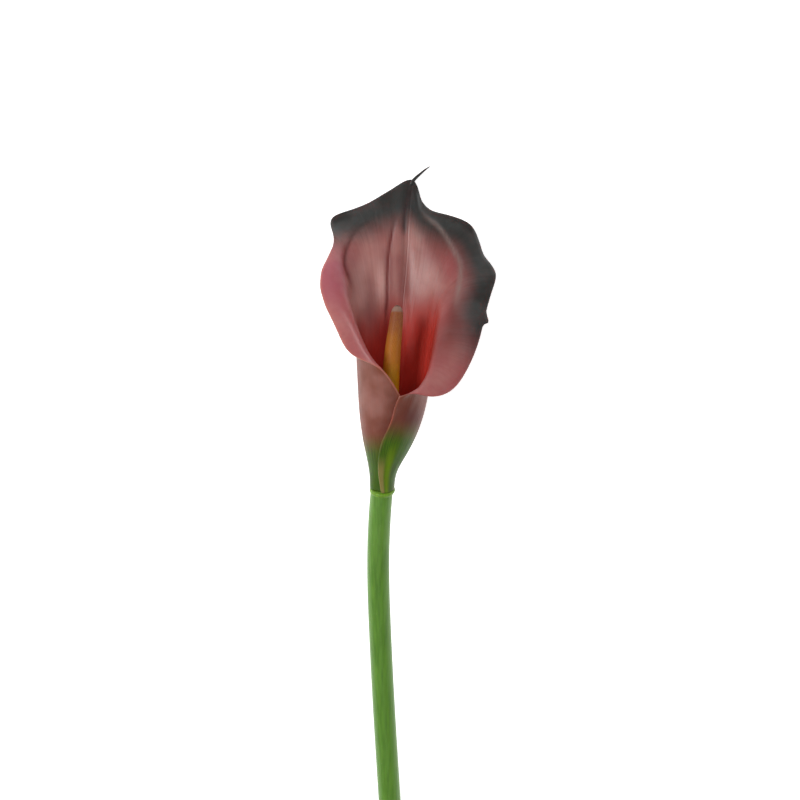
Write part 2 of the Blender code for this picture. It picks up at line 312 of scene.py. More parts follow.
@dataclass(frozen=True)
class SpatheFinish:
    """The petal-like sheet: blush pink, deep red in the throat, black at the margin, green at the foot, with painted
    highlights and painted shade.
    """

    blush: Colour = tone(146, 88, 84)
    bright: Colour = tone(188, 138, 130)
    lip_pink: Colour = tone(156, 82, 82)
    mauve: Colour = tone(160, 84, 96)
    outside: Colour = tone(120, 63, 46)
    fibre: Colour = tone(100, 46, 42)
    deep_red: Colour = tone(178, 52, 42)
    groove_red: Colour = tone(106, 32, 30)
    # painted highlight
    painted_highlight: Colour = tone(210, 166, 158)
    # painted shade; on the right wall it also stands for the throat's deeper red
    shade_and_dark_red: Colour = tone(90, 38, 30)
    # painted shade in the tip's crease
    crease_shade: Colour = tone(50, 38, 38)
    # painted highlight on the raised right vein
    ridge_highlight: Colour = tone(140, 122, 116)
    black: Colour = tone(43, 42, 40)
    dusty_black: Colour = tone(62, 63, 62)
    leaf_green: Colour = tone(68, 100, 0)
    dark_green: Colour = tone(42, 74, 0)
    lime: Colour = tone(108, 138, 2)
    beige: Colour = tone(130, 120, 62)
    # painted highlight on lit margin edges
    edge_highlight: Colour = tone(172, 106, 84)

    def build(self) -> bpy.types.Material:
        """Returns the material, which reads the numbers kept on the spathe's points."""
        sheet = Sheet("spathe_skin", 0.40)
        place = sheet.place()
        across, along = sheet.attribute("across"), sheet.attribute("along")
        fibres = sheet.noise(sheet.stretched(across, sheet.math("MULTIPLY", along, 0.035)), 1.5, 4)
        threads = sheet.noise(sheet.stretched(across, sheet.math("MULTIPLY", along, 0.05), 7.0), 5.0, 2)
        clouds = sheet.noise(place, 60, 3)
        mottle = sheet.noise(place, 260, 3)
        lip = sheet.attribute("lip")
        colour = sheet.blend(lip, self.blush, self.lip_pink)
        colour = sheet.blend(sheet.math("MULTIPLY", sheet.attribute("mauve"), 0.8), colour, self.mauve)
        colour = sheet.blend(sheet.attribute("outer"), colour, self.outside)
        colour = sheet.blend(sheet.math("MULTIPLY", sheet.ramp(clouds, 0.40, 0.74), 0.34), colour, self.bright)
        # painted highlight: pale patches where soft light falls on the throat's back wall
        colour = sheet.blend(sheet.math("MULTIPLY", sheet.attribute("painted_highlight"), 0.80), colour, self.painted_highlight)
        colour = sheet.blend(sheet.attribute("throat"), colour, self.deep_red)
        calm = sheet.math("SUBTRACT", 1.0, sheet.math("MULTIPLY", lip, 0.75))
        streaks = sheet.math("MULTIPLY", sheet.math("MULTIPLY", sheet.ramp(fibres, 0.36, 0.70), 0.10), calm)
        colour = sheet.blend(streaks, colour, self.fibre)
        colour = sheet.blend(sheet.math("MULTIPLY", sheet.ramp(threads, 0.5, 0.78), 0.05), colour, self.bright)
        # painted shade in hollows, beside the spadix, under the right lip and at the seam; the right_wall patch is the
        # throat's deeper red
        colour = sheet.blend(sheet.math("MULTIPLY", sheet.attribute("shade_and_dark_red"), 0.8), colour, self.shade_and_dark_red)
        # painted shade along the crease beside the midrib
        colour = sheet.blend(sheet.math("MULTIPLY", sheet.attribute("shade"), 0.38), colour, self.shade_and_dark_red)
        colour = sheet.blend(sheet.math("MULTIPLY", sheet.attribute("groove"), 0.95), colour, self.groove_red)
        feather = sheet.math("MULTIPLY", sheet.math("SUBTRACT", fibres, 0.5), 0.16)
        cloud = sheet.math("MULTIPLY", sheet.math("SUBTRACT", clouds, 0.5), 0.30)
        amount = sheet.math("ADD", sheet.attribute("black"), sheet.math("ADD", feather, cloud))
        dusty = sheet.blend(sheet.ramp(clouds, 0.40, 0.72), self.black, self.dusty_black)
        colour = sheet.blend(sheet.ramp(amount, 0.06, 0.96), colour, dusty)
        # painted shade in the crease that runs down from the tip, laid over the black
        colour = sheet.blend(sheet.math("MULTIPLY", sheet.attribute("crease_shade"), 0.85), colour, self.crease_shade)
        # painted highlight along the raised right vein
        colour = sheet.blend(sheet.math("MULTIPLY", sheet.attribute("ridge"), 0.62), colour, self.ridge_highlight)
        green = sheet.math("ADD", sheet.attribute("green"), feather)
        leaf = sheet.blend(sheet.ramp(fibres, 0.35, 0.7), self.leaf_green, self.dark_green)
        colour = sheet.blend(sheet.ramp(green, 0.10, 0.90), colour, leaf)
        colour = sheet.blend(sheet.math("MULTIPLY", sheet.attribute("lime"), 0.8), colour, self.lime)
        colour = sheet.blend(sheet.attribute("pale"), colour, self.beige)
        # painted highlight where the left lip's margin and the seam's outer edge catch the light
        colour = sheet.blend(sheet.math("MULTIPLY", sheet.attribute("rim"), 0.6), colour, self.edge_highlight)
        colour = sheet.blend(sheet.math("MULTIPLY", sheet.ramp(mottle, 0.45, 0.8), 0.10), colour, self.fibre)
        relief = sheet.math("ADD", sheet.math("MULTIPLY", fibres, 0.6), sheet.math("MULTIPLY", threads, 0.4))
        cells = sheet.noise(place, 2600, 2)
        relief = sheet.math("ADD", relief, sheet.math("MULTIPLY", cells, 0.10))
        relief = sheet.math("ADD", relief, sheet.math("MULTIPLY", mottle, 0.35))
        sheet.bump(relief, 0.00012, 0.32)
        dull = sheet.math("SUBTRACT", 1.0, sheet.math("MULTIPLY", sheet.attribute("throat"), 0.8))
        return sheet.finish(
            colour,
            Subsurface_Weight=0.30,
            Subsurface_Radius=(1.0, 0.35, 0.25),
            Subsurface_Scale=0.0022,
            Coat_Weight=sheet.math("MULTIPLY", dull, 0.08),
            Coat_Roughness=0.28,
            Specular_IOR_Level=sheet.math("MULTIPLY", dull, 0.28),
        )


@dataclass(frozen=True)
class SpadixFinish:
    """The pollen-covered club: yellow low down, tawny above, with a dull grey tip ringed by painted shade where it
    rounds off.
    """

    low_y: float
    high_y: float
    yellow: Colour = tone(220, 162, 6)
    tawny: Colour = tone(176, 103, 28)
    brown: Colour = tone(142, 76, 44)
    grey: Colour = tone(140, 108, 94)
    # painted shade round the tip's rounding
    rim: Colour = tone(92, 58, 44)
    pollen: Colour = tone(176, 124, 40)

    def build(self) -> bpy.types.Material:
        """Returns the material."""
        sheet = Sheet("spadix_florets", 0.5)
        place = sheet.place()
        split = sheet.add("ShaderNodeSeparateXYZ")
        sheet.put(place, split.inputs[0])
        height = split.outputs["Y"]
        span = self.high_y - self.low_y
        grain = sheet.noise(place, 900, 3)
        patches = sheet.noise(place, 160, 2)
        shift = sheet.math("MULTIPLY", sheet.math("SUBTRACT", patches, 0.5), span * 0.10)
        loose = sheet.math("ADD", height, shift)
        stages = ((0.50, 0.74, self.tawny), (0.76, 0.93, self.brown))
        colour = self.yellow
        for low, high, shade in stages:
            colour = sheet.blend(sheet.ramp(loose, self.low_y + low * span, self.low_y + high * span), colour, shade)
        colour = sheet.blend(sheet.math("MULTIPLY", sheet.attribute("floret"), 0.22), colour, self.pollen)
        colour = sheet.blend(sheet.math("MULTIPLY", sheet.ramp(grain, 0.5, 0.8), 0.14), colour, self.pollen)
        cap = sheet.ramp(height, self.low_y + 0.955 * span, self.low_y + 0.972 * span)
        colour = sheet.blend(cap, colour, self.grey)
        # painted shade: a dark ring where the tip rounds off
        edge = sheet.ramp(height, self.low_y + 0.986 * span, self.low_y + 0.997 * span)
        colour = sheet.blend(edge, colour, self.rim)
        sheet.bump(grain, 0.00012, 0.5)
        return sheet.finish(colour, Subsurface_Weight=0.10, Subsurface_Scale=0.002, Specular_IOR_Level=0.22)


@dataclass(frozen=True)
class StemFinish:
    """The waxy green skin of the stem, with faint lengthwise streaks and small pale specks."""

    name: str = "stem_skin"
    green: Colour = tone(91, 138, 34)
    pale: Colour = tone(102, 146, 52)
    dark: Colour = tone(76, 122, 24)
    speck: Colour = tone(118, 142, 76)

    def build(self) -> bpy.types.Material:
        """Returns the material."""
        sheet = Sheet(self.name, 0.40)
        place = sheet.place()
        stretch = sheet.add("ShaderNodeMapping")
        stretch.inputs["Scale"].default_value = (1, 0.03, 1)
        sheet.put(place, stretch.inputs["Vector"])
        streaks = sheet.noise(stretch.outputs[0], 900, 4)
        clouds = sheet.noise(place, 45, 3)
        specks = sheet.noise(place, 1300, 1)
        colour = sheet.blend(sheet.ramp(streaks, 0.35, 0.68), self.green, self.dark)
        colour = sheet.blend(sheet.math("MULTIPLY", sheet.ramp(clouds, 0.4, 0.75), 0.55), colour, self.pale)
        colour = sheet.blend(sheet.math("MULTIPLY", sheet.ramp(specks, 0.70, 0.78), 0.5), colour, self.speck)
        relief = sheet.math("ADD", streaks, sheet.math("MULTIPLY", specks, 0.3))
        sheet.bump(relief, 0.00016, 0.7)
        return sheet.finish(
            colour, Subsurface_Weight=0.08, Subsurface_Scale=0.003, Specular_IOR_Level=0.45, Sheen_Weight=0.1
        )


@dataclass(frozen=True)
class CutFinish:
    """The wet, pale flesh of the cut end, with the dots of its sap vessels."""

    flesh: Colour = tone(176, 196, 130)
    vessel: Colour = tone(120, 150, 82)

    def build(self) -> bpy.types.Material:
        """Returns the material."""
        sheet = Sheet("cut_flesh", 0.28)
        place = sheet.place()
        dots = sheet.add("ShaderNodeTexVoronoi")
        dots.inputs["Scale"].default_value = 1100
        sheet.put(place, dots.inputs["Vector"])
        near = sheet.ramp(dots.outputs["Distance"], 0.18, 0.34)
        colour = sheet.blend(near, self.vessel, self.flesh)
        colour = sheet.blend(sheet.math("MULTIPLY", sheet.noise(place, 500, 2), 0.4), colour, tone(196, 208, 156))
        sheet.bump(dots.outputs["Distance"], 0.0002, 0.6)
        return sheet.finish(colour, Subsurface_Weight=0.2, Subsurface_Scale=0.002)


@dataclass(frozen=True)
class FloorFinish:
    """The pale studio floor."""

    colour: Colour = (0.92, 0.92, 0.92)
    glow: float = 0.70

    def build(self) -> bpy.types.Material:
        """Returns the material."""
        sheet = Sheet("studio_floor", 0.9)
        sheet.shader.inputs["Emission Color"].default_value = (1, 1, 1, 1)
        return sheet.finish(self.colour, Emission_Strength=self.glow, Specular_IOR_Level=0.1)


# ---------------------------------------------------------------- the spathe
class Face(Enum):
    """Which face of the sheet a point is on: its way along the sheet's normal."""

    THROAT = 1
    OUTSIDE = -1


@dataclass(frozen=True)
class TubeStation:
    """The rolled tube's middle and half sizes at one height above the spathe's foot."""

    height: float
    centre_x: float
    centre_z: float
    half_width: float
    half_depth: float


@dataclass(frozen=True)
class Rib:
    """One line up the sheet, from the collar to the margin.

    The foot angle runs round the flower's axis: 0 at the back, 90 at the right, 180 at the front.
    The ridge is the point that the sheet bends over as it opens, and the rim is on its margin.
    The black is how far the dark pigment reaches in from the margin.
    """

    name: str
    foot_angle: float
    ridge: Point
    rim: Point
    lean: float = 0.0
    black: float = -6.0


@dataclass(frozen=True)
class Vein:
    """A line along the sheet, seen from the front: raised towards the throat, or sunk where it is negative."""

    name: str
    path: tuple[tuple[float, float], ...]
    width: float
    rise: float


@dataclass(frozen=True)
class Blot:
    """A soft patch on one face of the sheet, seen from the front: a painted highlight, or a darker patch that is mostly
    painted shade.
    """

    name: str
    face: Face
    centre: tuple[float, float]
    reach: tuple[float, float]
    strength: float
    turn: float = 0.0


TUBE = (
    TubeStation(0, 0.3, 0.0, 4.8, 4.8),
    TubeStation(5, 0.5, 0.5, 4.9, 5.0),
    TubeStation(10, 0.9, 1.1, 5.9, 6.3),
    TubeStation(15, 2.0, 1.6, 8.1, 7.9),
    TubeStation(20, 3.0, 2.0, 10.1, 9.4),
    TubeStation(25, 3.7, 2.2, 11.8, 10.8),
    TubeStation(30, 4.2, 2.4, 13.1, 12.0),
    TubeStation(40, 5.1, 2.5, 14.8, 13.8),
    TubeStation(60, 5.8, 2.2, 15.9, 16.2),
    TubeStation(80, 7.0, 1.5, 19.5, 19.2),
    TubeStation(100, 8.0, 1.0, 25.0, 20.6),
    TubeStation(120, 10.0, 0.5, 28.0, 21.6),
)

RIBS = (
    Rib("seam_over", 181, (5.6, 36.2, 17.0), (7.8, 40.2, 17.6), lean=25),
    Rib("right_fold", 160, (12.6, 43.4, 16.8), (14.4, 41.3, 19.0), lean=13),
    Rib("right_fold_low", 142, (16.8, 47.5, 15.4), (21.0, 40.3, 17.8), lean=7),
    Rib("right_lip_low", 124, (20.2, 53.6, 12.0), (29.4, 42.7, 12.5), lean=3, black=-3),
    Rib("right_lip", 108, (22.0, 60.0, 7.6), (36.2, 51.2, 6.0), black=2.5),
    Rib("right_lip_high", 94, (23.8, 67.5, 3.0), (41.4, 63.0, 0.5), black=9),
    Rib("right_side", 80, (26.5, 76.5, -3.0), (44.6, 75.0, -5.0), black=11.5),
    Rib("right_side_high", 67, (29.0, 86.0, -8.0), (48.0, 86.5, -10.5), black=12.5),
    Rib("right_lobe", 55, (31.0, 94.5, -12.5), (49.4, 94.8, -16.0), black=13),
    Rib("right_lobe_high", 43, (31.0, 102.5, -15.5), (44.4, 103.4, -21.0), black=12),
    Rib("right_shoulder", 32, (29.0, 109.0, -18.0), (39.5, 115.3, -26.5), black=15.5),
    Rib("right_brow", 21, (23.5, 113.0, -19.0), (27.0, 120.9, -25.8), black=14.5),
    Rib("right_of_tip", 10, (16.6, 117.5, -20.0), (17.7, 126.2, -25.6), black=14.5),
    Rib("tip", 0, (12.0, 123.3, -21.0), (13.7, 135.6, -26.0), black=19),
    Rib("left_of_tip", -11, (4.2, 120.2, -21.0), (3.5, 131.1, -25.6), black=16),
    Rib("left_brow", -24, (-4.5, 115.8, -20.5), (-10.0, 123.8, -25.6), black=13.5),
    Rib("left_ear", -38, (-12.0, 111.0, -17.5), (-22.1, 118.6, -26.5), black=13.5),
    Rib("left_ear_foot", -54, (-16.8, 105.0, -11.0), (-20.9, 108.8, -16.0), black=1.5),
    Rib("left_lip_high", -70, (-17.6, 97.5, -2.5), (-24.1, 98.8, -6.5)),
    Rib("left_lip", -87, (-16.4, 89.5, 4.0), (-26.2, 89.0, -1.5)),
    Rib("left_lip_low", -105, (-14.0, 81.5, 9.0), (-24.0, 79.2, 3.0)),
    Rib("left_fold_high", -124, (-10.8, 73.0, 12.8), (-19.3, 69.6, 6.4)),
    Rib("left_fold", -145, (-6.8, 64.5, 15.6), (-13.9, 59.6, 10.5)),
    Rib("left_fold_low", -169, (-2.4, 57.0, 17.0), (-5.4, 54.6, 15.8)),
    Rib("left_margin", -198, (2.4, 49.5, 16.6), (2.4, 49.2, 17.2)),
    Rib("seam_under", -235, (7.2, 40.0, 14.6), (9.6, 37.6, 14.6)),
)

GROOVES = (
    Vein("midrib", ((7.4, 122.7), (4.4, 111.5), (2.9, 101.3), (2.3, 91.1), (2.3, 82.6), (1.8, 76.5), (1.4, 62)), 1.5, -0.50),
    Vein(
        "left_vein",
        ((-2.4, 120.2), (-10.5, 113.9), (-14.3, 107.7), (-15.9, 101.5), (-15.9, 96.4), (-14.5, 91.4), (-12.7, 83.9)),
        1.7,
        -0.42,
    ),
)
SHADES = (
    Vein("midrib_shade", ((11.8, 121), (10.2, 113), (9.6, 100), (9.3, 87), (8.6, 74)), 2.6, -0.08),
    Vein("tip_wedge", ((13.6, 134), (11.8, 128), (10.3, 121.5), (9.8, 115.5), (9.7, 110)), 2.5, -0.30),
)
RIDGES = (
    Vein("right_vein", ((16.3, 121.2), (21.0, 117.6), (26.1, 113), (31.8, 103.3), (34.2, 97.6), (34.2, 91.9), (33.2, 84.0), (31.6, 76.0)), 1.6, 0.50),
    Vein("tip_fold", ((14.2, 132.5), (14.8, 127), (16.0, 122), (19.5, 118)), 1.3, 0.40),
    Vein("midrib_bank", ((9.4, 121), (7.2, 112), (6.1, 101), (5.7, 90), (5.4, 78)), 2.2, 0.12),
)
# Painted highlights: pale patches where soft light falls on the throat's back wall and lifts its shaded hollows.
HIGHLIGHT_BLOTS = (
    Blot("left_of_midrib", Face.THROAT, (-0.6, 89.0), (3.0, 12.0), 1.0, 0.05),
    Blot("left_panel", Face.THROAT, (-8.0, 98.0), (4.5, 11.0), 0.55, -0.3),
    Blot("midrib_bank", Face.THROAT, (5.8, 92.0), (1.3, 14.0), 0.30, 0.05),
    Blot("left_panel_low", Face.THROAT, (-9.5, 82.0), (3.2, 8.0), 0.45, -0.2),
    Blot("centre_panel", Face.THROAT, (14.5, 98.0), (4.0, 9.0), 0.40, 0.1),
    Blot("right_brow", Face.THROAT, (15.0, 112.0), (3.4, 7.5), 0.55, 0.25),
    Blot("right_panel", Face.THROAT, (21.0, 91.5), (6.5, 8.5), 0.50, -0.35),
    Blot("right_strip", Face.THROAT, (27.5, 76.0), (2.0, 7.0), 0.15, 0.1),
)
# Painted shade: darker patches in the throat's hollows, beside the spadix, under the right lip, on the tube's right
# flank and at the seam; right_wall stands for the throat's deeper red.
SHADE_AND_DARK_RED_BLOTS = (
    Blot("left_hollow", Face.THROAT, (-14.0, 88.0), (3.0, 12.0), 0.18, -0.2),
    Blot("right_hollow", Face.THROAT, (31.0, 80.0), (2.6, 12.0), 0.40),
    Blot("right_wall", Face.THROAT, (28.5, 66.5), (6.0, 10.0), 0.62, -0.4),
    Blot("upper_right", Face.THROAT, (24.5, 103.0), (6.0, 4.0), 0.40, -0.7),
    Blot("vein_shade", Face.THROAT, (30.0, 98.0), (1.6, 10.0), 0.40, 0.3),
    Blot("left_of_spadix", Face.THROAT, (-3.0, 64.0), (6.0, 10.0), 0.10, -0.4),
    Blot("seam_shade", Face.OUTSIDE, (2.6, 27.0), (3.2, 5.0), 0.45, 0.3),
    Blot("under_lip", Face.OUTSIDE, (13.0, 32.0), (6.0, 6.0), 0.85),
    Blot("right_flank", Face.OUTSIDE, (14.0, 24.0), (6.0, 8.0), 0.45, -0.4),
)


@dataclass
class Spathe:
    """The rolled and flared sheet."""

    origin: np.ndarray
    thickness: float = 1.0
    rim_thickness: float = 0.55
    layer_step: float = 1.3
    columns: int = 251
    rows: int = 150
    tip_rib: float = 13.0
    table_level: float = -25.6
    table_softness: float = 0.5
    table_nearness: float = 0.06
    wall_shares: tuple[float, ...] = (0.0, 0.06, 0.14, 0.25, 0.40, 0.60, 0.84)
    tooth_at: tuple[float, float, float] = (70.6, 72.9, 77.5)
    tooth_reach: float = 2.4
    tail_path: tuple[Point, ...] = (
        (-2.2, -4.6, 0.2), (-0.7, -1.3, 0.15), (1.1, 1.0, 0.15), (3.2, 2.9, 0.2), (5.3, 4.7, 0.3), (7.4, 6.2, 0.4),
    )
    tail_radii: tuple[float, ...] = (0.30, 0.80, 0.72, 0.55, 0.40, 0.18)
    finish: SpatheFinish = field(default_factory=SpatheFinish)

    def tube_at(self, height: float) -> list[float]:
        """The tube's middle and half sizes at a height."""
        heights = [s.height for s in TUBE]
        rows = [(s.centre_x, s.centre_z, s.half_width, s.half_depth) for s in TUBE]
        return [float(curve_through(heights, c, np.array([height]))[0]) for c in zip(*rows)]

    def wall_point(self, angle: float, height: float) -> Point:
        """A point on the rolled tube; past the front the sheet runs inside its own other edge."""
        centre_x, centre_z, half_width, half_depth = self.tube_at(height)
        inward = self.layer_step * float(smooth_step(80, 150, np.array(-angle)))
        turn = math.radians(angle)
        x = centre_x + (half_width - inward) * math.sin(turn)
        z = centre_z - (half_depth - inward) * math.cos(turn)
        return (x, height, z)

    def rib_points(self, rib: Rib) -> list[Point]:
        """One rib's control points: those up the wall, its ridge and its rim."""
        last = self.wall_shares[-1]
        centre_x, centre_z, half_width, half_depth = self.tube_at(last * rib.ridge[1])
        across = (rib.ridge[0] - centre_x) / half_width
        forward = (rib.ridge[2] - centre_z) / half_depth
        throat = math.degrees(math.atan2(across, -forward))
        throat += 360 * round((rib.foot_angle - throat) / 360)
        points = []
        for share in self.wall_shares:
            way = share / last
            angle = rib.foot_angle + (throat - rib.foot_angle) * way + rib.lean * math.sin(math.pi * way)
            points.append(self.wall_point(angle, share * rib.ridge[1]))
        return [*points, rib.ridge, rib.rim]

    def middle(self, at_rib: np.ndarray, at_row: np.ndarray) -> np.ndarray:
        """The middle of the sheet's thickness.

        Args:
            at_rib: places among the ribs.
            at_row: shares of the way up.

        Returns:
            Points in a grid, places by shares.
        """
        net = np.array([self.rib_points(rib) for rib in RIBS])
        across, along = weights_across(len(RIBS), at_rib), weights_along(net.shape[1], at_row)
        points = np.einsum("ui,ijc,tj->utc", across, net, along)
        above = (points[:, :, 2] - self.table_level) / self.table_softness
        points[:, :, 2] = self.table_level + self.table_softness * np.logaddexp(0, above)
        return points

    def normals(self, points: np.ndarray) -> np.ndarray:
        """Unit normals of a grid of points, on the sheet's outer side."""
        normal = np.cross(np.gradient(points, axis=1), np.gradient(points, axis=0))
        return normal / np.linalg.norm(normal, axis=2, keepdims=True)

    def line_share(self, points: np.ndarray, vein: Vein) -> np.ndarray:
        """How near each point is to a vein as seen from the front: 1 on it and 0 past its width."""
        nearest = np.full(points.shape[:2], 1e9)
        fade = np.zeros(points.shape[:2])
        knots = np.linspace(0, 1, len(vein.path))
        fine = np.linspace(0, 1, 60)
        x = curve_through(knots, [p[0] for p in vein.path], fine)
        y = curve_through(knots, [p[1] for p in vein.path], fine)
        for share, px, py in zip(fine, x, y):
            gap = np.hypot(points[:, :, 0] - px, points[:, :, 1] - py)
            closer = gap < nearest
            nearest = np.where(closer, gap, nearest)
            fade = np.where(closer, min(1.0, 6 * share, 5 * (1 - share)), fade)
        return np.exp(-((nearest / (vein.width * 0.6)) ** 2)) * fade

    def to_rim(self, points: np.ndarray) -> np.ndarray:
        """The way along each rib from a point to the margin, in millimetres."""
        steps = np.linalg.norm(np.diff(points, axis=1), axis=2)
        whole = np.concatenate([np.zeros((len(points), 1)), np.cumsum(steps, axis=1)], axis=1)
        return whole[:, -1:] - whole

    def add_tooth(self, points: np.ndarray, rim_way: np.ndarray, at_rib: np.ndarray) -> None:
        """Pull the small pointed tooth out of the right margin."""
        low, top, high = self.tooth_at
        y = points[:, :, 1]
        shape = np.clip(np.where(y < top, (y - low) / (top - low), (high - y) / (high - top)), 0, 1)
        near = np.exp(-rim_way / 1.6) * ((at_rib > 4) & (at_rib < 9))[:, None]
        points[:, :, 0] += self.tooth_reach * shape**1.5 * near
        points[:, :, 1] -= 0.8 * shape**2 * near

    def line_sum(self, points: np.ndarray, veins: Sequence[Vein]) -> np.ndarray:
        """How much of any of the veins lies at each point, 0 to 1."""
        return np.clip(sum(self.line_share(points, vein) for vein in veins), 0, 1)

    def blot_sum(self, points: np.ndarray, blots: Sequence[Blot], face: Face) -> np.ndarray:
        """How much of a face's blots lies at each point, 0 to 1."""
        total = np.zeros(points.shape[:2])
        for blot in blots:
            if blot.face is face:
                x, y = points[:, :, 0] - blot.centre[0], points[:, :, 1] - blot.centre[1]
                across = x * math.cos(blot.turn) + y * math.sin(blot.turn)
                along = y * math.cos(blot.turn) - x * math.sin(blot.turn)
                total += blot.strength * np.exp(-((across / blot.reach[0]) ** 2) - (along / blot.reach[1]) ** 2)
        return np.clip(total, 0, 1)

    def masks(self, face: Face, points: np.ndarray, at_rib: np.ndarray, at_row: np.ndarray, rim_way: np.ndarray) -> dict:
        """Where each colour of one face lies.

        Args:
            face: the face to paint.
            points: the sheet's grid of points.
            at_rib: the columns' places among the ribs.
            at_row: the rows' shares of the way up.
            rim_way: each point's way to the margin.

        Returns:
            Grids of numbers, mostly 0 to 1, by name.
        """
        throat = float(face is Face.THROAT)
        y = points[:, :, 1]
        u = np.broadcast_to(at_rib[:, None], y.shape)
        row = np.broadcast_to(at_row[None, :], y.shape)
        reach = curve_through(np.arange(len(RIBS)), [r.black for r in RIBS], at_rib)[:, None]
        back = ((u > 4.5) & (u < 20.5)) * smooth_step(40, 62, y)
        lip = smooth_step(0.83, 0.93, row) * (1 - smooth_step(95, 112, y))
        right = 1 - smooth_step(3.0, 7.0, u)
        black = np.clip(0.5 + (reach - rim_way) / 17.0, 0, 1.2) * (reach > -5)
        black *= (0.72 + 0.28 * throat) * (0.5 + 0.5 * smooth_step(3.6, 6.6, u))
        red_top = 82 + 9 * smooth_step(-7, 3, points[:, :, 0])
        red = throat * (1 - smooth_step(-26, 0, y - red_top)) * (1 - lip)
        # painted shadow on the under layer, next to the overlapping outer margin at the seam
        seam_gap_shadow = (1 - throat) * (u > 20) * (1 - smooth_step(0.25, 1.0, self.seam_nearness(points)))
        foot = 1 - throat
        return {
            "across": u * 8.0,
            "along": row * 100.0,
            "outer": np.full(y.shape, 1 - throat),
            "black": black,
            "throat": red,
            "lip": throat * lip,
            "mauve": throat * lip * (u > 17) * smooth_step(70, 92, y),
            "green": np.clip(0.5 + (20 + 5.5 * right - y) / 15, 0, 1),
            "groove": self.line_sum(points, GROOVES) * back * (0.25 + 0.75 * throat),
            "shade": self.line_sum(points, SHADES[:1]) * back * throat,
            # painted shade in the tip's crease
            "crease_shade": self.line_sum(points, SHADES[1:]) * back * throat,
            # painted highlight along the raised right vein
            "ridge": self.line_sum(points, RIDGES[:1]) * back * throat,
            # painted highlight patches, kept off the lips
            "painted_highlight": self.blot_sum(points, HIGHLIGHT_BLOTS, face) * (1 - lip),
            # painted shade patches and the seam's painted gap shadow
            "shade_and_dark_red": np.clip(
                self.blot_sum(points, SHADE_AND_DARK_RED_BLOTS, face) * (1 - lip * (u > 8)) + seam_gap_shadow * (1 - smooth_step(16, 24, y)),
                0,
                1,
            ),
            "pale": foot * (1 - smooth_step(0.42, 0.78, u)) * (1 - smooth_step(9, 17, y)),
            "lime": foot * np.exp(-(((u - 1.15) / 0.5) ** 2)) * (1 - smooth_step(12, 24, y)),
            # painted highlight on the lit margin of the left lip and along the seam's edge
            "rim": np.exp(-((rim_way / 0.55) ** 2)) * (reach < 3) * (u > 17.5)
            + 0.4 * foot * np.exp(-((u / 0.11) ** 2)) * smooth_step(15, 21, y),
        }

    def seam_nearness(self, points: np.ndarray) -> np.ndarray:
        """How far each point is from the sheet's outer side margin, where 1 is 2.4 mm or more."""
        nearest = np.ones(points.shape[:2])
        for place in points[0][::3]:
            nearest = np.minimum(nearest, np.linalg.norm(points - place, axis=2) / 2.4)
        return nearest

    def relief(self, points: np.ndarray, at_rib: np.ndarray, at_row: np.ndarray, rim_way: np.ndarray) -> np.ndarray:
        """How far the living sheet stands off the smooth one, towards the throat, in millimetres."""
        u = at_rib[:, None]
        back = smooth_step(4.5, 7.0, u) * (1 - smooth_step(19.5, 21.5, u)) * smooth_step(40, 62, points[:, :, 1])
        veins = sum(v.rise * self.line_share(points, v) for v in (*GROOVES, *SHADES, *RIDGES))
        swell = 0.25 * np.sin(2.1 * u + 0.09 * rim_way) * np.sin(0.13 * rim_way + 0.7 * u)
        ripple = 0.26 * np.sin(5.3 * u + 1.1) * np.exp(-rim_way / 4) * np.sin(2.3 * u + 0.4)
        fibres = 0.035 * np.sin(23.0 * u + 1.2 * np.sin(3.0 * u)) + 0.025 * np.sin(37.0 * u + 0.6)
        lift = back * (veins + swell + ripple) + 0.25 * (1 - back) * swell + fibres
        return lift * smooth_step(0.15, 0.3, at_row)[None, :]

    def shell(self) -> tuple[np.ndarray, list, dict[str, np.ndarray]]:
        """The closed shell.

        Returns:
            Its points, its faces, and the numbers kept on its points.
        """
        even = np.linspace(0, len(RIBS) - 1, self.columns)
        at_rib = np.sort(np.concatenate([even, self.tip_rib + np.array((-0.06, -0.03, 0.03, 0.06))]))
        at_row = np.linspace(0, 1, self.rows)
        grid = self.middle(at_rib, at_row)
        rim_way = self.to_rim(grid)
        self.add_tooth(grid, rim_way, at_rib)
        painted = [self.masks(face, grid, at_rib, at_row, rim_way) for face in Face]
        grid = grid + self.normals(grid) * self.relief(grid, at_rib, at_row, rim_way)[:, :, None]
        above = (grid[:, :, 2] - self.table_level) / self.table_nearness
        grid[:, :, 2] = self.table_level + self.table_nearness * np.logaddexp(0, above)
        half = 0.5 * (self.rim_thickness + (self.thickness - self.rim_thickness) * smooth_step(0, 6, rim_way))
        normal = self.normals(grid)
        columns, rows = len(at_rib), self.rows
        faces, loop = self.faces(columns, rows)
        sides = [(grid + face.value * normal * half[:, :, None]).reshape(-1, 3) for face in Face]
        count = columns * rows
        for k, (a, b) in enumerate(zip(loop, loop[1:] + loop[:1])):
            after = (k + 1) % len(loop)
            faces.append((a, b, 2 * count + after, 2 * count + k))
            faces.append((2 * count + k, 2 * count + after, count + b, count + a))
        points = np.concatenate([*sides, self.edge_points(grid, half, loop, rows)])
        kept = {}
        for key in painted[0]:
            ways = [mask[key].reshape(-1) for mask in painted]
            kept[key] = np.concatenate([*ways, (ways[0][loop] + ways[1][loop]) / 2])
        return points, faces, kept

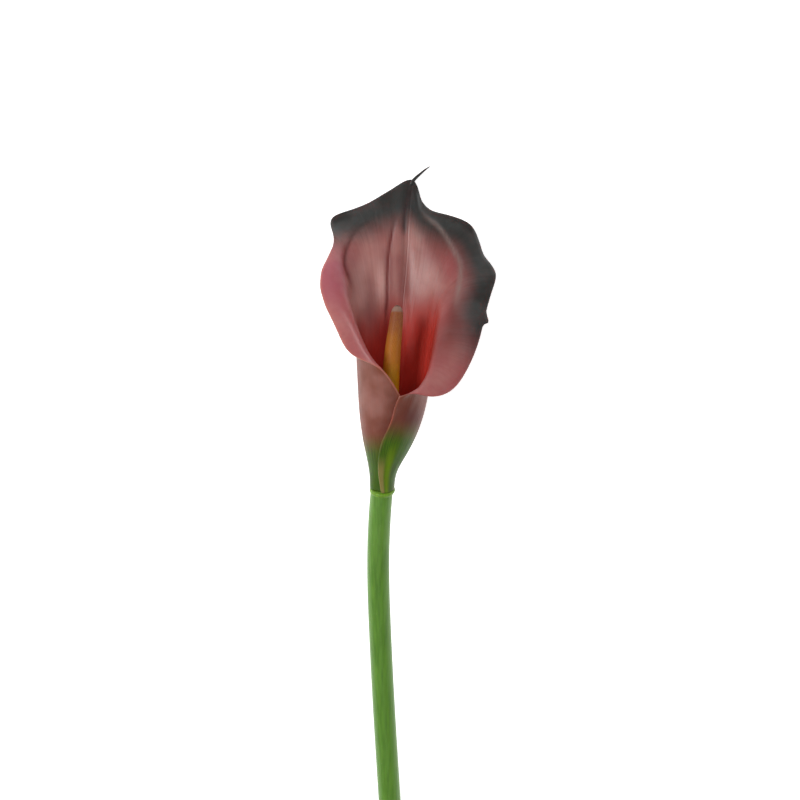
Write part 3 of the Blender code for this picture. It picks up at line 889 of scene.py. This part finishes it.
    def faces(self, columns: int, rows: int) -> tuple[list, list[int]]:
        """The faces of both sides, and the loop of point numbers round the sheet's edge."""
        count = columns * rows
        faces = []
        for c in range(columns - 1):
            for r in range(rows - 1):
                a = c * rows + r
                quad = (a, a + 1, a + rows + 1, a + rows)
                faces.append(quad)
                faces.append(tuple(count + i for i in reversed(quad)))
        loop = [c * rows for c in range(columns)]
        loop += [(columns - 1) * rows + r for r in range(1, rows)]
        loop += [c * rows + rows - 1 for c in range(columns - 2, -1, -1)]
        loop += list(range(rows - 2, 0, -1))
        return faces, loop

    def edge_points(self, grid: np.ndarray, half: np.ndarray, loop: list[int], rows: int) -> np.ndarray:
        """Points that round the sheet's edge, a little outside the middle of its thickness."""
        flat, thick = grid.reshape(-1, 3), half.reshape(-1)
        columns = len(grid)
        points = []
        for number in loop:
            c, r = divmod(number, rows)
            inside = min(max(c, 1), columns - 2) * rows + min(max(r, 1), rows - 2)
            away = flat[number] - flat[inside]
            away /= np.linalg.norm(away) + 1e-9
            points.append(flat[number] + away * thick[number] * (0.0 if r == 0 else 0.8))
        return np.array(points)

    def tail(self) -> tuple[np.ndarray, list]:
        """The thin curled thread that the tip draws out into, resting on the table."""
        tip = np.array(RIBS[int(self.tip_rib)].rim)
        knots = np.arange(len(self.tail_path), dtype=float)
        fine = np.linspace(0, knots[-1], 30)
        path = np.stack([curve_through(knots, c, fine) for c in zip(*self.tail_path)], axis=1)
        radius = np.interp(fine, knots, self.tail_radii)
        floor = self.table_level - self.thickness / 2
        path[:, :2] += tip[:2]
        path[:, 2] += floor + radius
        return rod(path, radius, 12)

    def build(self) -> bpy.types.Object:
        """Returns the finished spathe."""
        points, faces, values = self.shell()
        tail_points, tail_faces = self.tail()
        start = len(points)
        faces += [tuple(start + i for i in face) for face in tail_faces]
        everything = set_aslant(np.concatenate([points, tail_points]))
        for key, numbers in values.items():
            constant = {"black": 1.0, "along": 100.0, "across": 104.0}.get(key, 0.0)
            values[key] = np.concatenate([numbers, np.full(len(tail_points), constant)])
        made = mesh_object("spathe_petal", everything, faces, self.origin, values)
        made.data.materials.append(self.finish.build())
        return made


def rod(path: np.ndarray, radii: np.ndarray, sides: int) -> tuple[np.ndarray, list]:
    """A closed round rod along a path.

    Args:
        path: its centre points.
        radii: its radius at each.
        sides: how many points go round it.

    Returns:
        Its points and its faces.
    """
    tangent = np.gradient(path, axis=0)
    tangent /= np.linalg.norm(tangent, axis=1, keepdims=True)
    up = np.array((0.0, 0.0, 1.0))
    side = np.cross(tangent, up)
    side /= np.linalg.norm(side, axis=1, keepdims=True)
    fall = np.cross(tangent, side)
    turns = 2 * np.pi * np.arange(sides) / sides
    ring = np.cos(turns)[None, :, None] * side[:, None, :] + np.sin(turns)[None, :, None] * fall[:, None, :]
    points = (path[:, None, :] + radii[:, None, None] * ring).reshape(-1, 3)
    faces = []
    for i in range(len(path) - 1):
        for k in range(sides):
            a, b = i * sides + k, i * sides + (k + 1) % sides
            faces.append((a, b, b + sides, a + sides))
    faces.append(tuple(reversed(range(sides))))
    last = (len(path) - 1) * sides
    faces.append(tuple(range(last, last + sides)))
    return points, faces


# ---------------------------------------------------------------- Geometry Nodes
class Tree:
    """A Geometry Nodes tree with named inputs, and short ways to fill it."""

    def __init__(self, name: str) -> None:
        """Start a tree that takes and gives geometry."""
        self.tree = bpy.data.node_groups.new(name, "GeometryNodeTree")
        self.tree.interface.new_socket("Geometry", in_out="INPUT", socket_type="NodeSocketGeometry")
        self.tree.interface.new_socket("Geometry", in_out="OUTPUT", socket_type="NodeSocketGeometry")
        self.given = self.tree.nodes.new("NodeGroupInput")
        self.result = self.tree.nodes.new("NodeGroupOutput")

    def input(self, name: str, kind: str = "NodeSocketFloat") -> None:
        """Add a named input."""
        self.tree.interface.new_socket(name, in_out="INPUT", socket_type=kind)

    def add(self, kind: str, inputs: dict | None = None, **settings: object) -> bpy.types.Node:
        """Add a node with its settings, and join or fill its inputs."""
        node = self.tree.nodes.new(kind)
        for key, value in settings.items():
            setattr(node, key, value)
        for key, value in (inputs or {}).items():
            if isinstance(value, bpy.types.NodeSocket):
                self.tree.links.new(value, node.inputs[key])
            else:
                node.inputs[key].default_value = value
        return node

    def math(self, kind: str, a: object, b: object = 0.0) -> bpy.types.NodeSocket:
        """A sum of two sockets or numbers."""
        return self.add("ShaderNodeMath", {0: a, 1: b}, operation=kind).outputs[0]

    def end(self, geometry: bpy.types.NodeSocket, finish: bpy.types.Material) -> None:
        """Realise the instances, set the material and join the output."""
        real = self.add("GeometryNodeRealizeInstances", {"Geometry": geometry})
        dressed = self.add("GeometryNodeSetMaterial", {"Geometry": real.outputs[0], "Material": finish})
        self.tree.links.new(dressed.outputs[0], self.result.inputs[0])

    def apply(self, host: bpy.types.Object, name: str, values: dict[str, object]) -> bpy.types.Object:
        """Run the tree on an object and keep the result as a plain mesh.

        Args:
            host: the object to run it on, which is removed afterwards.
            name: the new object's name.
            values: the inputs' values, by name.

        Returns:
            The new object.
        """
        modifier = host.modifiers.new("shape", "NODES")
        modifier.node_group = self.tree
        for socket in self.tree.interface.items_tree:
            if socket.in_out == "INPUT" and socket.name in values:
                modifier[socket.identifier] = values[socket.name]
        bpy.context.view_layer.update()
        shape = host.evaluated_get(bpy.context.evaluated_depsgraph_get())
        mesh = bpy.data.meshes.new_from_object(shape)
        mesh.name = name
        mesh.shade_smooth()
        made = bpy.data.objects.new(name, mesh)
        bpy.context.scene.collection.objects.link(made)
        host.modifiers.remove(modifier)
        bpy.data.objects.remove(host)
        return made


# ---------------------------------------------------------------- the spadix
@dataclass
class Spadix:
    """The club in the throat, with its florets set in spirals."""

    origin: np.ndarray
    length: float = 79.5
    bare_stalk: float = 9.0
    stalk_radius: float = 2.3
    florets: int = 1900
    bare_tip: float = 3.0
    floret_radius: float = 0.50
    sunk: float = 0.37
    seed: int = 4
    profile: tuple[tuple[float, float], ...] = (
        (0, 2.3), (6, 2.3), (10, 3.3), (20, 3.85), (40, 3.85), (54, 3.7), (62, 3.45), (72, 3.0), (76.5, 2.65),
        (78.2, 2.0), (79.1, 1.15), (79.5, 0.2),
    )

    def radius_at(self, height: np.ndarray) -> np.ndarray:
        """The club's radius at heights above its foot."""
        return np.interp(height, [p[0] for p in self.profile], [p[1] for p in self.profile])

    def axis_at(self, height: np.ndarray) -> tuple[np.ndarray, np.ndarray]:
        """The club's leaning middle line, x and z, at heights above its foot."""
        x = curve_through((0, 20, 41, 54, 62, 72, 80), (0.3, 2.2, 3.7, 4.4, 5.1, 6.3, 6.9), height)
        z = curve_through((0, 20, 50, 80), (0.0, 1.9, 2.4, 2.2), height)
        return x, z

    def core(self) -> bpy.types.Object:
        """The straight club that the florets sit on, standing along Y, in millimetres."""
        heights = np.concatenate([np.linspace(0, 76, 70), np.linspace(76.5, self.length, 14)])
        path = np.stack([np.zeros_like(heights), heights, np.zeros_like(heights)], axis=1)
        points, faces = rod(path, self.radius_at(heights) - 0.12, 40)
        return mesh_object("spadix_core", points / MM, faces, np.zeros(3))

    def tree(self, finish: bpy.types.Material) -> Tree:
        """Florets on a golden-angle spiral over the club, each a low bead sunk into it."""
        nodes = Tree("spiral_florets")
        nodes.input("Count", "NodeSocketInt")
        nodes.input("Seed", "NodeSocketInt")
        for name in ("Start", "Length", "Radius", "Sunk"):
            nodes.input(name)
        given = nodes.given.outputs
        line = nodes.add("GeometryNodeMeshLine", {"Count": given["Count"]}, mode="OFFSET")
        index = nodes.add("GeometryNodeInputIndex").outputs[0]
        share = nodes.math("DIVIDE", index, given["Count"])
        height = nodes.math("ADD", given["Start"], nodes.math("MULTIPLY", share, given["Length"]))
        turn = nodes.math("MULTIPLY", index, 2.399963)
        east, up = nodes.math("COSINE", turn), nodes.math("SINE", turn)
        axis = nodes.add("ShaderNodeCombineXYZ", {"Y": height}).outputs[0]
        out = nodes.add("ShaderNodeCombineXYZ", {"X": east, "Z": up}).outputs[0]
        cast = nodes.add(
            "GeometryNodeRaycast",
            {"Target Geometry": given["Geometry"], "Source Position": axis, "Ray Direction": out, "Ray Length": 20.0},
        )
        sink = nodes.add("ShaderNodeVectorMath", {0: out, "Scale": given["Sunk"]}, operation="SCALE").outputs[0]
        seat = nodes.add("ShaderNodeVectorMath", {0: cast.outputs["Hit Position"], 1: sink}, operation="SUBTRACT")
        placed = nodes.add("GeometryNodeSetPosition", {"Geometry": line.outputs[0], "Position": seat.outputs[0]})
        chance = nodes.add("FunctionNodeRandomValue", {"Seed": given["Seed"]}, data_type="FLOAT")
        placed = nodes.add(
            "GeometryNodeStoreNamedAttribute",
            {"Geometry": placed.outputs[0], "Name": "floret", "Value": chance.outputs[1]},
            data_type="FLOAT",
            domain="POINT",
        )
        bead = nodes.add("GeometryNodeMeshIcoSphere", {"Radius": given["Radius"], "Subdivisions": 2})
        spots = nodes.add(
            "GeometryNodeInstanceOnPoints", {"Points": placed.outputs[0], "Instance": bead.outputs["Mesh"]}
        )
        both = nodes.add("GeometryNodeJoinGeometry", {0: spots.outputs[0]})
        nodes.tree.links.new(given["Geometry"], both.inputs[0])
        nodes.end(both.outputs[0], finish)
        return nodes

    def build(self) -> bpy.types.Object:
        """Returns the finished spadix."""
        low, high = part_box("spadix")
        finish = SpadixFinish(low[1], high[1]).build()
        made = self.tree(finish).apply(
            self.core(),
            "spadix_club",
            {
                "Count": self.florets,
                "Start": self.bare_stalk,
                "Length": self.length - self.bare_tip - self.bare_stalk,
                "Radius": self.floret_radius,
                "Sunk": self.sunk,
                "Seed": self.seed,
            },
        )
        count = len(made.data.vertices)
        flat = np.empty(count * 3)
        made.data.vertices.foreach_get("co", flat)
        points = flat.reshape(-1, 3)
        lean_x, lean_z = self.axis_at(points[:, 1])
        points[:, 0] += lean_x
        points[:, 2] += lean_z
        points = set_aslant(points) * MM + self.origin
        made.data.vertices.foreach_set("co", points.reshape(-1))
        made.data.update()
        return made


# ---------------------------------------------------------------- the stem
@dataclass
class Stem:
    """The round fleshy stem, from its cut end to the collar."""

    origin: np.ndarray
    length: float = 250.0
    radius: float = 4.78
    top_slope: float = 0.130
    cut_slant: float = 0.30
    ribs: int = 22
    rib_depth: float = 0.002
    drop: float = 21.233
    bends: tuple[tuple[float, float], ...] = (
        (0, 0.3), (15, -0.9), (35, -1.4), (60, -0.7), (95, 1.0), (133, 3.3), (190, 6.6), (250, 9.0),
    )

    def centre_line(self, below: np.ndarray) -> np.ndarray:
        """The stem's centre at distances below the collar."""
        end_slope = 2 * self.drop / self.length - self.top_slope
        easing = (self.top_slope - end_slope) / (2 * self.length)
        x = curve_through([b[0] for b in self.bends], [b[1] for b in self.bends], below)
        return np.stack([x, -below, -(self.top_slope * below - easing * below**2)], axis=1)

    def host(self) -> bpy.types.Object:
        """A curve down the middle of the stem, in millimetres."""
        curve = bpy.data.curves.new("stem_line", "CURVE")
        curve.dimensions = "3D"
        line = curve.splines.new("POLY")
        points = self.centre_line(np.linspace(self.length, 1.3, 160))
        line.points.add(len(points) - 1)
        for spot, place in zip(line.points, points):
            spot.co = (*place, 1)
        made = bpy.data.objects.new("stem_line", curve)
        bpy.context.scene.collection.objects.link(made)
        return made

    def tree(self, finish: bpy.types.Material) -> Tree:
        """A ring with shallow ribs, swept along the curve and capped."""
        nodes = Tree("ribbed_stem")
        for name in ("Radius", "Ribs", "Depth"):
            nodes.input(name)
        given = nodes.given.outputs
        ring = nodes.add("GeometryNodeCurvePrimitiveCircle", {"Resolution": 132, "Radius": 1.0})
        index = nodes.add("GeometryNodeInputIndex").outputs[0]
        turn = nodes.math("MULTIPLY", index, 2 * math.pi / 132)
        wave = nodes.math("COSINE", nodes.math("MULTIPLY", turn, given["Ribs"]))
        second = nodes.math("SINE", nodes.math("MULTIPLY", turn, 7.0))
        wave = nodes.math("ADD", wave, second)
        grow = nodes.math("ADD", 1.0, nodes.math("MULTIPLY", wave, given["Depth"]))
        grow = nodes.math("MULTIPLY", grow, given["Radius"])
        place = nodes.add("GeometryNodeInputPosition").outputs[0]
        wide = nodes.add("ShaderNodeVectorMath", {0: place, "Scale": grow}, operation="SCALE").outputs[0]
        shaped = nodes.add("GeometryNodeSetPosition", {"Geometry": ring.outputs[0], "Position": wide})
        swept = nodes.add(
            "GeometryNodeCurveToMesh",
            {"Curve": given["Geometry"], "Profile Curve": shaped.outputs[0], "Fill Caps": True},
        )
        nodes.end(swept.outputs[0], finish)
        return nodes

    def build(self) -> bpy.types.Object:
        """Returns the stem with its cut end."""
        made = self.tree(StemFinish().build()).apply(
            self.host(), "stem_rod", {"Radius": self.radius, "Ribs": float(self.ribs), "Depth": self.rib_depth}
        )
        mesh = made.data
        flat = np.empty(len(mesh.vertices) * 3)
        mesh.vertices.foreach_get("co", flat)
        points = flat.reshape(-1, 3)
        end = self.centre_line(np.array([self.length]))[0]
        at_end = points[:, 1] < -self.length + 0.8
        points[at_end, 1] -= self.cut_slant * (points[at_end, 2] - end[2])
        points = set_aslant(points) * MM + self.origin
        mesh.vertices.foreach_set("co", points.reshape(-1))
        mesh.materials.append(CutFinish().build())
        for face in mesh.polygons:
            if len(face.vertices) > 4 and face.center.y < self.origin[1] - 0.2:
                face.material_index = 1
        mesh.update()
        return made


@dataclass
class Collar:
    """The narrow bright ridge where the spathe grows out of the stem."""

    origin: np.ndarray
    radius: float = 4.78
    swell: float = 0.70
    profile: tuple[tuple[float, float], ...] = (
        (-2.7, -0.08), (-2.3, 0.20), (-1.9, 0.66), (-1.4, 0.94), (-0.95, 1.0), (-0.6, 0.80), (-0.37, 0.4), (-0.34, 0.0),
    )

    def build(self) -> bpy.types.Object:
        """Returns the ring, which closes the stem's top."""
        sides = 96
        turns = 2 * np.pi * np.arange(sides) / sides
        wobble = 1 + 0.05 * np.sin(3 * turns + 0.5) + 0.03 * np.sin(7 * turns)
        points = []
        for along, out in self.profile:
            radius = self.radius + self.swell * out * wobble
            centre_x = 0.5 - 0.08 * (-along)
            ring = np.stack([centre_x + radius * np.cos(turns), np.full(sides, along), -radius * np.sin(turns)], axis=1)
            ring[:, 2] -= 0.13 * (-along)
            points.append(ring)
        faces = []
        for i in range(len(points) - 1):
            for k in range(sides):
                a, b = i * sides + k, i * sides + (k + 1) % sides
                faces.append((a, b, b + sides, a + sides))
        faces.append(tuple(reversed(range(sides))))
        last = (len(points) - 1) * sides
        faces.append(tuple(range(last, last + sides)))
        made = mesh_object("stem_collar", set_aslant(np.concatenate(points)), faces, self.origin)
        bright = StemFinish("collar_skin", tone(108, 154, 4), tone(126, 164, 20), tone(90, 134, 2), tone(134, 164, 32))
        made.data.materials.append(bright.build())
        return made


# ---------------------------------------------------------------- the studio
@dataclass
class Studio:
    """The floor, the lights and the camera that looks straight down on the flower."""

    origin: np.ndarray
    focal_length: float = 100.0
    view_width: float = 0.344
    view_centre: tuple[float, float] = (8.0, 38.7)
    floor_half: float = 4.0
    tent: float = 0.29

    def build(self) -> None:
        """Make them all."""
        self.floor()
        self.lights()
        self.camera()

    def floor(self) -> None:
        """A wide pale plane just under the flower."""
        half = self.floor_half
        mesh = bpy.data.meshes.new("studio_floor")
        corners = [(-half, -half, -0.0002), (half, -half, -0.0002), (half, half, -0.0002), (-half, half, -0.0002)]
        mesh.from_pydata(corners, [], [(0, 1, 2, 3)])
        mesh.materials.append(FloorFinish().build())
        made = bpy.data.objects.new("studio_floor", mesh)
        bpy.context.scene.collection.objects.link(made)

    def lights(self) -> None:
        """A white tent of light, a large soft key and a smaller one for the gloss."""
        world = bpy.data.worlds.new("studio_tent")
        world.use_nodes = True
        background = world.node_tree.nodes["Background"]
        background.inputs["Color"].default_value = (1, 1, 1, 1)
        nodes, links = world.node_tree.nodes, world.node_tree.links
        split = nodes.new("ShaderNodeSeparateXYZ")
        links.new(nodes.new("ShaderNodeTexCoord").outputs["Generated"], split.inputs[0])
        lift = nodes.new("ShaderNodeMapRange")
        lift.interpolation_type = "SMOOTHSTEP"
        for name, value in (("From Min", 0.05), ("From Max", 0.45), ("To Min", 1.0), ("To Max", self.tent)):
            lift.inputs[name].default_value = value
        links.new(split.outputs["Z"], lift.inputs["Value"])
        links.new(lift.outputs["Result"], background.inputs["Strength"])
        bpy.context.scene.world = world
        self.lamp("key", (-0.85, 0.40, 1.05), 0.50, 10.5)
        self.lamp("top", (0.10, -0.05, 1.45), 0.45, 2.2)
        self.lamp("side", (0.90, 0.05, 0.45), 0.25, 0.8)

    def lamp(self, name: str, place: Point, size: float, watts: float) -> None:
        """A square soft lamp aimed at the spathe."""
        light = bpy.data.lights.new(name, "AREA")
        light.size = size
        light.energy = watts
        made = bpy.data.objects.new(name, light)
        made.location = place
        aim = Vector((0.0, 0.12, 0.01)) - Vector(place)
        made.rotation_euler = aim.to_track_quat("-Z", "Y").to_euler()
        bpy.context.scene.collection.objects.link(made)

    def camera(self) -> None:
        """A long lens over the spathe, with the stem running out of the bottom of the view."""
        lens = bpy.data.cameras.new("camera")
        lens.lens = self.focal_length
        lens.sensor_width = 36.0
        lens.clip_start = 0.01
        made = bpy.data.objects.new("camera", lens)
        distance = self.view_width * self.focal_length / 36.0
        made.location = (
            self.origin[0] + self.view_centre[0] * MM,
            self.origin[1] + self.view_centre[1] * MM,
            self.origin[2] + distance,
        )
        bpy.context.scene.collection.objects.link(made)
        bpy.context.scene.camera = made
        bpy.context.scene.view_settings.view_transform = "Standard"


def report(piece: bpy.types.Object, body: str, nodes: Sequence[str]) -> None:
    """Hand a piece to the frame and log it.

    Args:
        piece: the finished piece.
        body: the body that it rides on.
        nodes: the CAD nodes that it stands for.
    """
    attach(piece, body)
    if nodes:
        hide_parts(*nodes)
    LOG.info("%s: %d points, %d faces", piece.name, len(piece.data.vertices), len(piece.data.polygons))


def main() -> None:
    logging.basicConfig(level=logging.INFO, format="%(name)s: %(message)s")
    low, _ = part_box("spathe")
    origin = np.array(low) - np.array(SPATHE_LOW_CORNER) * MM
    report(Spathe(origin).build(), "root", ["spathe"])
    report(Spadix(origin).build(), "root", ["spadix"])
    report(Stem(origin).build(), "root", ["stem"])
    report(Collar(origin).build(), "root", [])
    Studio(origin).build()


if __name__ == "__main__":
    main()
